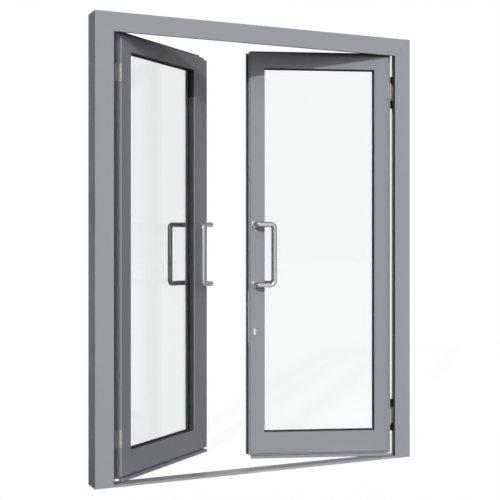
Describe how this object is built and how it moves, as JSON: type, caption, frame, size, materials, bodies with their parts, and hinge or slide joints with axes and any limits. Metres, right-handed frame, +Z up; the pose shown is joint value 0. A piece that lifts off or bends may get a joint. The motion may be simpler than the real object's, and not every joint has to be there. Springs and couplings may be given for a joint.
{
  "type": "double door",
  "caption": "Glazed aluminium double door in a mitred frame, hinged leaves standing open, with cranked pull handles, cylinder lock and flush bolts.",
  "frame": {"origin": "under the threshold, in the middle of the frame's width and depth, on the finished floor", "axes": "+Z up, +X along the width to the right as seen from the pull side's opposite face, +Y through the doorway in the direction the leaves open"},
  "size_m": [1.65, 0.5761, 2.125],
  "materials": {
    "frame_paint": "satin grey powder coat on aluminium",
    "leaf_paint": "satin grey powder coat on aluminium",
    "threshold_metal": "satin anodised",
    "mill_aluminium": "bare extrusion",
    "gasket_rubber": "matt black",
    "keep_metal": "satin",
    "hinge_dark": "satin dark grey",
    "hinge_light": "satin grey",
    "pin_steel": "brushed",
    "case_steel": "zinc plated",
    "bush_plastic": "pale, matt",
    "pane_glass": "clear, polished",
    "spacer_metal": "satin",
    "block_plastic": "matt",
    "handle_steel": "brushed stainless",
    "cylinder_nickel": "satin nickel on brass",
    "plug_nickel": "polished"
  },
  "bodies": {
    "frame": {"jamb_left": "frame_paint", "jamb_right": "frame_paint", "head": "frame_paint", "frame_corner_cleats": "mill_aluminium", "threshold": "threshold_metal", "stop_gasket": "gasket_rubber", "bolt_keep": "keep_metal", "hinge_bodies_left": "hinge_dark", "hinge_bodies_right": "hinge_dark", "hinge_pins_left": "pin_steel", "hinge_pins_right": "pin_steel", "hinge_bushes_left": "bush_plastic", "hinge_bushes_right": "bush_plastic"},
    "left_leaf": {"hinge_straps_left": "hinge_light", "hinge_stile_left": "leaf_paint", "top_rail_left": "leaf_paint", "bottom_rail_left": "leaf_paint", "rail_cleats_left": "mill_aluminium", "glass_panes_left": "pane_glass", "glass_spacer_left": "spacer_metal", "glazing_gaskets_left": "gasket_rubber", "glazing_beads_left": "leaf_paint", "setting_blocks_left": "block_plastic", "seal_carrier_left": "leaf_paint", "bottom_seal_left": "gasket_rubber", "meeting_seal_left": "gasket_rubber", "handle_near_left": "handle_steel", "handle_far_left": "handle_steel", "handle_studs_left": "pin_steel", "meeting_stile_left": "leaf_paint", "strike_plate": "pin_steel", "flush_bolt_cases": "keep_metal"},
    "right_leaf": {"hinge_straps_right": "hinge_light", "hinge_stile_right": "leaf_paint", "top_rail_right": "leaf_paint", "bottom_rail_right": "leaf_paint", "rail_cleats_right": "mill_aluminium", "glass_panes_right": "pane_glass", "glass_spacer_right": "spacer_metal", "glazing_gaskets_right": "gasket_rubber", "glazing_beads_right": "leaf_paint", "setting_blocks_right": "block_plastic", "seal_carrier_right": "leaf_paint", "bottom_seal_right": "gasket_rubber", "meeting_seal_right": "gasket_rubber", "handle_near_right": "handle_steel", "handle_far_right": "handle_steel", "handle_studs_right": "pin_steel", "lock_stile_right": "leaf_paint", "lock_case": "case_steel", "lock_faceplate": "pin_steel", "lock_cylinder": "cylinder_nickel"},
    "top_bolt": {"top_bolt_rod": "pin_steel"},
    "bottom_bolt": {"bottom_bolt_rod": "pin_steel"},
    "bolt": {"deadbolt": "pin_steel"},
    "latch": {"latch_bolt": "pin_steel"},
    "key_plug": {"cylinder_plug": "plug_nickel"}
  },
  "joints": [
    {"name": "left_swing", "type": "hinge", "parent": "frame", "child": "left_leaf", "pos_m": [-0.757, 0.029, 1.034], "axis": [0, 0, 1], "range_deg": [-37.35, 57.65]},
    {"name": "right_swing", "type": "hinge", "parent": "frame", "child": "right_leaf", "pos_m": [0.757, 0.029, 1.034], "axis": [0, 0, -1], "range_deg": [-18.75, 76.25]},
    {"name": "top_bolt_slide", "type": "slide", "parent": "left_leaf", "child": "top_bolt", "axis": [0, 0, 1], "range_m": [0, 0.02]},
    {"name": "bottom_bolt_slide", "type": "slide", "parent": "left_leaf", "child": "bottom_bolt", "axis": [0, 0, -1], "range_m": [0, 0.02]},
    {"name": "key_turn", "type": "hinge", "parent": "right_leaf", "child": "key_plug", "pos_m": [0.07368, 0.21238, 0.654], "axis": [0.3214, 0.9469, 0], "range_deg": [0, 360]},
    {"name": "deadbolt_slide", "type": "slide", "parent": "right_leaf", "child": "bolt", "axis": [-0.9469, 0.3214, 0], "range_m": [0, 0.02]},
    {"name": "latch_slide", "type": "slide", "parent": "right_leaf", "child": "latch", "axis": [-0.9469, 0.3214, 0], "range_m": [-0.008, 0], "stiffness_N_per_m": 500, "springref_m": 0.004}
  ],
  "couplings": [
    {"joint": "key_turn", "follows": "deadbolt_slide", "rad_per_m": 314.16}
  ]
}
